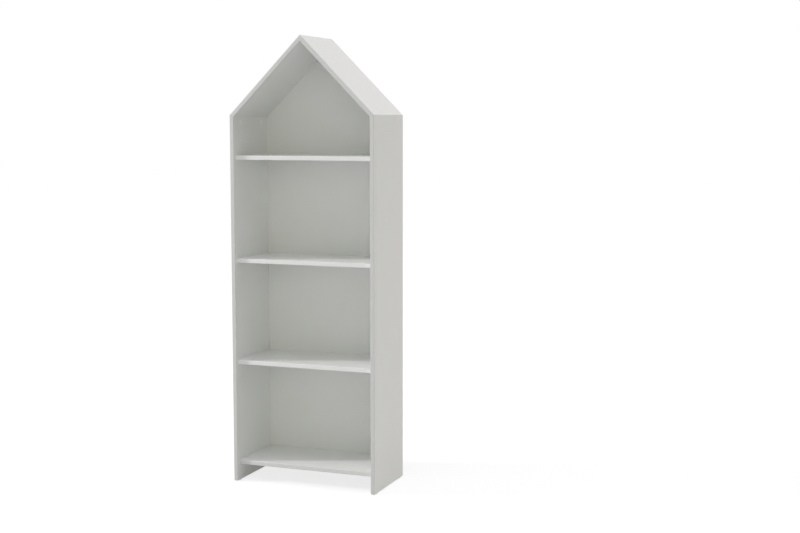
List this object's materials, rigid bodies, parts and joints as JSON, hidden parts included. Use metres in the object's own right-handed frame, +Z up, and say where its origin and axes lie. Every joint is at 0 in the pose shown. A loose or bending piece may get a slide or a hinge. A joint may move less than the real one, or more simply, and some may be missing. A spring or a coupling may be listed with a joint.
{
  "type": "bookshelf",
  "caption": "House-shaped open bookshelf for a child's room: pitched roof, set-back shelves, raised bottom board and thin back, held by cam locks, dowels and hinged mitre bolts.",
  "frame": {"origin": "on the floor, under the middle of the carcass", "axes": "+X to the right as seen from the open front, +Y to the wall behind, +Z up"},
  "size_m": [0.59, 0.3, 1.715],
  "materials": {
    "white_board": "white satin melamine on chipboard",
    "edge_band": "white satin edge band",
    "back_sheet": "hardboard, white lacquer in front, bare brown behind",
    "die_cast_zinc": "die-cast zinc",
    "zinc_plated_steel": "zinc-plated steel",
    "beech": "raw beech",
    "white_cap": "white moulded plastic",
    "glide_plastic": "pale grey hard plastic"
  },
  "bodies": {
    "root": {"left_side_panel": "white_board", "right_side_panel": "white_board", "left_roof_panel": "white_board", "right_roof_panel": "white_board", "bottom_board": "white_board", "lower_shelf": "white_board", "middle_shelf": "white_board", "upper_shelf": "white_board", "left_side_edge_band": "edge_band", "right_side_edge_band": "edge_band", "left_roof_edge_band": "edge_band", "right_roof_edge_band": "edge_band", "bottom_board_edge_band": "edge_band", "lower_shelf_edge_band": "edge_band", "middle_shelf_edge_band": "edge_band", "upper_shelf_edge_band": "edge_band", "lower_back_sheet": "back_sheet", "upper_back_sheet": "back_sheet", "shelf_cam_locks": "die_cast_zinc", "eave_cam_locks": "die_cast_zinc", "ridge_cam_locks": "die_cast_zinc", "shelf_cam_bolts": "zinc_plated_steel", "mitre_bolt_studs": "zinc_plated_steel", "mitre_bolt_arms": "zinc_plated_steel", "mitre_bolt_rivets": "zinc_plated_steel", "shelf_dowels": "beech", "eave_dowels": "beech", "ridge_dowels": "beech", "shelf_cam_caps": "white_cap", "eave_cam_caps": "white_cap", "ridge_cam_caps": "white_cap", "front_left_glide": "glide_plastic", "front_right_glide": "glide_plastic", "rear_left_glide": "glide_plastic", "rear_right_glide": "glide_plastic"}
  },
  "joints": []
}
